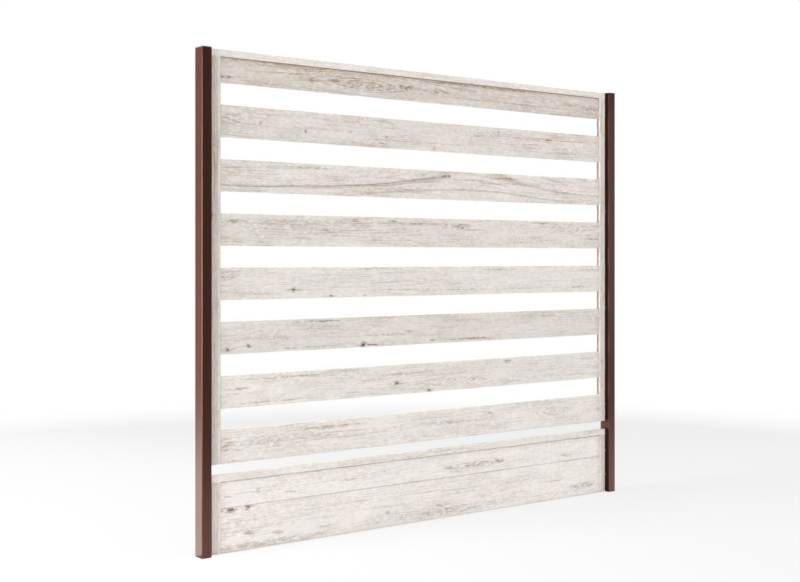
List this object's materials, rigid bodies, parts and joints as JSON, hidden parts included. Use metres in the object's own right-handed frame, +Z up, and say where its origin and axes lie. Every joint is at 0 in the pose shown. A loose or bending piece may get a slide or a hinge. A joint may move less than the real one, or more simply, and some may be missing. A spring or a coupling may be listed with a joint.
{
  "type": "garden privacy screen",
  "caption": "Fixed garden privacy screen: rectangular posts carry a panel of spaced horizontal slats over a closed low panel, in a white-washed oak finish.",
  "frame": {"origin": "centre of the footprint, on the ground", "axes": "+X along the screen to the right as seen from the front, +Y from the front to the back, +Z up"},
  "size_m": [2.16, 0.055, 1.8583],
  "materials": {
    "frame_decor": "matt wood-effect coating, white-washed oak, on aluminium",
    "board_decor": "matt wood-effect coating, white-washed oak, on aluminium",
    "post_coat": "semi-gloss dark brown coating",
    "cap_plastic": "black, fine grain",
    "spacer_plastic": "matt brown-grey",
    "block_plastic": "black",
    "screw_steel": "stainless steel"
  },
  "bodies": {
    "root": {"upper_top_rail": "frame_decor", "upper_left_stile": "frame_decor", "upper_right_stile": "frame_decor", "upper_bottom_strip": "frame_decor", "lower_top_rail": "frame_decor", "lower_left_stile": "frame_decor", "lower_right_stile": "frame_decor", "lower_bottom_strip": "frame_decor", "upper_board_1": "board_decor", "upper_board_2": "board_decor", "upper_board_3": "board_decor", "upper_board_4": "board_decor", "upper_board_5": "board_decor", "upper_board_6": "board_decor", "upper_board_7": "board_decor", "upper_board_8": "board_decor", "lower_board_1": "board_decor", "lower_board_2": "board_decor", "left_post": "post_coat", "left_post_cap": "cap_plastic", "left_board_spacers": "spacer_plastic", "right_post": "post_coat", "right_post_cap": "cap_plastic", "right_board_spacers": "spacer_plastic", "rail_corner_blocks": "block_plastic", "strip_corner_blocks": "block_plastic", "frame_screws": "screw_steel", "strip_screws": "screw_steel", "post_bolts": "screw_steel", "rivet_nuts": "screw_steel", "spacer_sleeves": "cap_plastic"}
  },
  "joints": []
}
